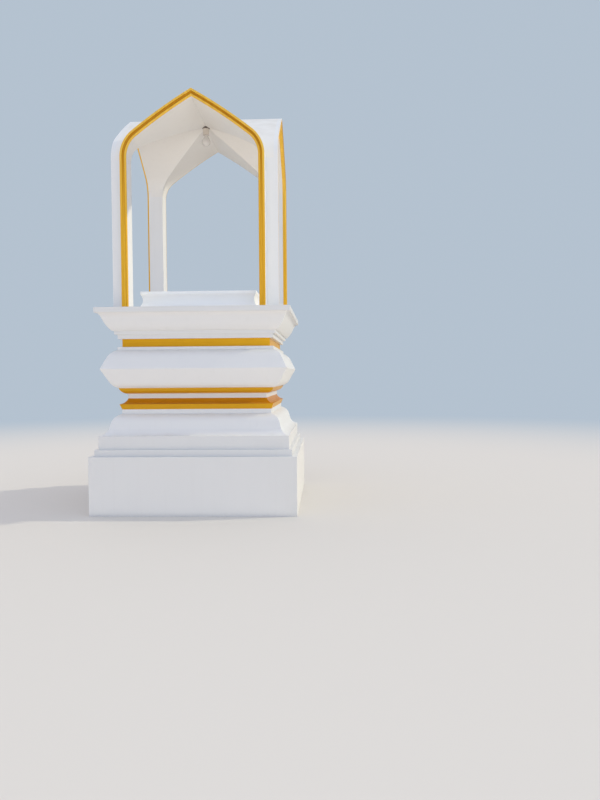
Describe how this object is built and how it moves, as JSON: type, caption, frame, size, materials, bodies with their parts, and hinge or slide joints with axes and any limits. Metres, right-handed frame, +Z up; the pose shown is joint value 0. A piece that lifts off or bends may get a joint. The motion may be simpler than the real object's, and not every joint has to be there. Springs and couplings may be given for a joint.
{
  "type": "spirit house",
  "caption": "Spirit house: an open canopy of pointed arches with a groined vault on a square moulded lotus base, with an altar block and a hanging lamp.",
  "frame": {"origin": "centre of the plan at ground level, on the underside of the plinth", "axes": "+Z up, -Y towards the front arch, +X to the right of someone facing the front"},
  "size_m": [1.932, 1.932, 3.96],
  "materials": {
    "white_masonry": "smooth plastered masonry in satin white paint",
    "gold_masonry": "plaster moulding in satin gold-yellow paint",
    "lamp_rose": "dark matt plastic ceiling rose",
    "lamp_holder": "glazed porcelain lamp holder",
    "opal_bulb": "opal lamp glass"
  },
  "bodies": {
    "root": {"plinth_block": "white_masonry", "plinth_upper_course": "white_masonry", "plinth_top_course": "white_masonry", "base_bell": "white_masonry", "base_fillet": "white_masonry", "waist_course": "white_masonry", "lotus_lower": "white_masonry", "lotus_upper": "white_masonry", "lotus_fillet": "white_masonry", "cornice_fillets": "white_masonry", "cornice_cyma": "white_masonry", "platform_slab": "white_masonry", "altar_base": "white_masonry", "altar_waist": "white_masonry", "altar_top": "white_masonry", "front_right_post": "white_masonry", "back_right_post": "white_masonry", "back_left_post": "white_masonry", "front_left_post": "white_masonry", "front_vault_arm": "white_masonry", "right_vault_arm": "white_masonry", "back_vault_arm": "white_masonry", "left_vault_arm": "white_masonry", "lower_gold_moulding": "gold_masonry", "upper_gold_moulding": "gold_masonry", "gold_neck_band": "gold_masonry", "front_trim_right_leg": "gold_masonry", "front_trim_left_leg": "gold_masonry", "front_trim_right_head": "gold_masonry", "front_trim_left_head": "gold_masonry", "right_trim_right_leg": "gold_masonry", "right_trim_left_leg": "gold_masonry", "right_trim_right_head": "gold_masonry", "right_trim_left_head": "gold_masonry", "back_trim_right_leg": "gold_masonry", "back_trim_left_leg": "gold_masonry", "back_trim_right_head": "gold_masonry", "back_trim_left_head": "gold_masonry", "left_trim_right_leg": "gold_masonry", "left_trim_left_leg": "gold_masonry", "left_trim_right_head": "gold_masonry", "left_trim_left_head": "gold_masonry", "lamp_rose": "lamp_rose", "lamp_holder": "lamp_holder", "lamp_bulb": "opal_bulb"}
  },
  "joints": []
}
